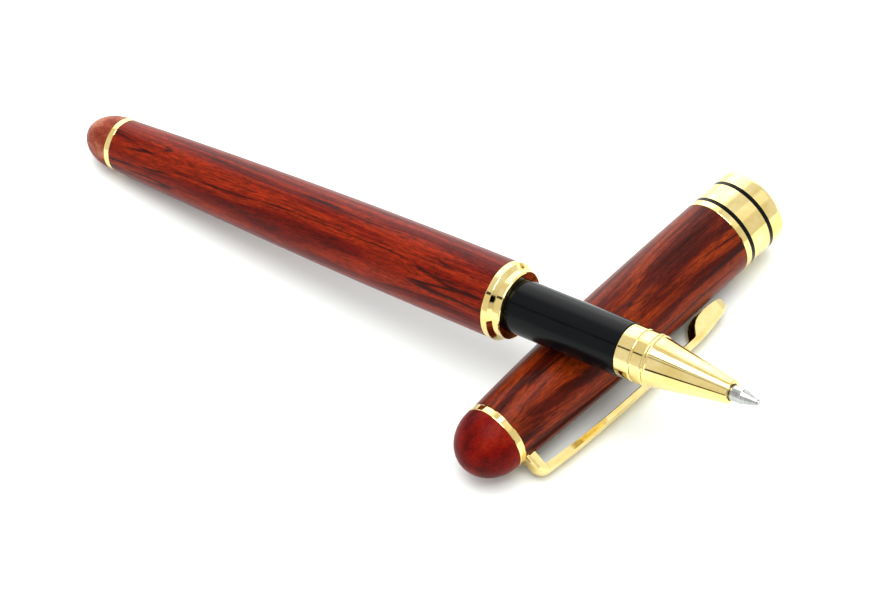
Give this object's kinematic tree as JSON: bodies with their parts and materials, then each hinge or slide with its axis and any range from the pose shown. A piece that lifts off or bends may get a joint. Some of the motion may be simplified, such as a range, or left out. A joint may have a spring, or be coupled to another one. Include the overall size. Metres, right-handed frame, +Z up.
{
  "type": "rollerball pen",
  "caption": "Uncapped rollerball pen with a tapered wooden barrel, gloss grip and metal nose, resting across its wooden cap with a folded clip and inlaid mouth band.",
  "frame": {"origin": "on the table under the middle of the pen and cap as they lie", "axes": "+Z up from the table; +X along the cap towards its mouth, level; the nib points towards -Y"},
  "size_m": [0.064, 0.1216, 0.0224],
  "materials": {
    "rosewood": "gloss lacquer over straight dark grain",
    "rosewood_end": "gloss lacquer over end grain",
    "polished_gold": "mirror polish, gold plated",
    "turned_brass": "turned",
    "black_gloss": "gloss",
    "black_enamel": "gloss enamel",
    "refill_steel": "drawn",
    "refill_plastic": "moulded",
    "nozzle_steel": "turned",
    "ball_steel": "ground",
    "spring_steel": "drawn wire",
    "ink_fibre": "ink-soaked fibre"
  },
  "bodies": {
    "cap": {"cap_tube": "rosewood", "cap_finial": "rosewood_end", "crown_ring": "polished_gold", "cap_liner": "turned_brass", "nib_sleeve": "black_gloss", "clip_bush": "turned_brass", "finial_screw": "spring_steel", "mouth_band": "polished_gold", "inner_inlay_ring": "black_enamel", "outer_inlay_ring": "black_enamel"},
    "clip": {"clip": "polished_gold"},
    "barrel": {"barrel": "rosewood", "tail_dome": "rosewood_end", "tail_ring": "polished_gold", "tail_plug": "turned_brass", "barrel_liner": "turned_brass", "coupling": "polished_gold"},
    "grip": {"grip_section": "black_gloss"},
    "nose": {"nose_cone": "polished_gold"},
    "refill": {"refill_tube": "refill_steel", "refill_nose": "refill_plastic", "refill_nozzle": "nozzle_steel", "ink_reservoir": "ink_fibre", "refill_plug": "refill_plastic", "refill_spring": "spring_steel"},
    "ball": {"writing_ball": "ball_steel"}
  },
  "joints": [
    {"name": "pen_lift", "type": "slide", "parent": "cap", "child": "barrel", "axis": [0, 0, 1], "range_m": [0, 0.08]},
    {"name": "clip_flex", "type": "hinge", "parent": "cap", "child": "clip", "pos_m": [-0.02403, -0.03305, 0.00353], "axis": [0.0183, 0.4871, -0.8732], "range_deg": [0, 3], "stiffness_Nm_per_rad": 2},
    {"name": "grip_unscrew", "type": "hinge", "parent": "barrel", "child": "grip", "pos_m": [-0.01066, -0.01978, 0.01501], "axis": [0.1463, -0.979, 0.1417], "range_deg": [0, 2520]},
    {"name": "nose_unscrew", "type": "hinge", "parent": "grip", "child": "nose", "pos_m": [-0.00777, -0.03911, 0.01781], "axis": [0.1463, -0.979, 0.1417], "range_deg": [0, 1800]},
    {"name": "refill_float", "type": "slide", "parent": "grip", "child": "refill", "axis": [0.1463, -0.979, 0.1417], "range_m": [-0.0008, 0], "stiffness_N_per_m": 400, "springref_m": 0.0002},
    {"name": "ball_roll", "type": "hinge", "parent": "refill", "child": "ball", "pos_m": [-0.00458, -0.06041, 0.02089], "axis": [-0.989, -0.1478, 0], "continuous": true}
  ]
}
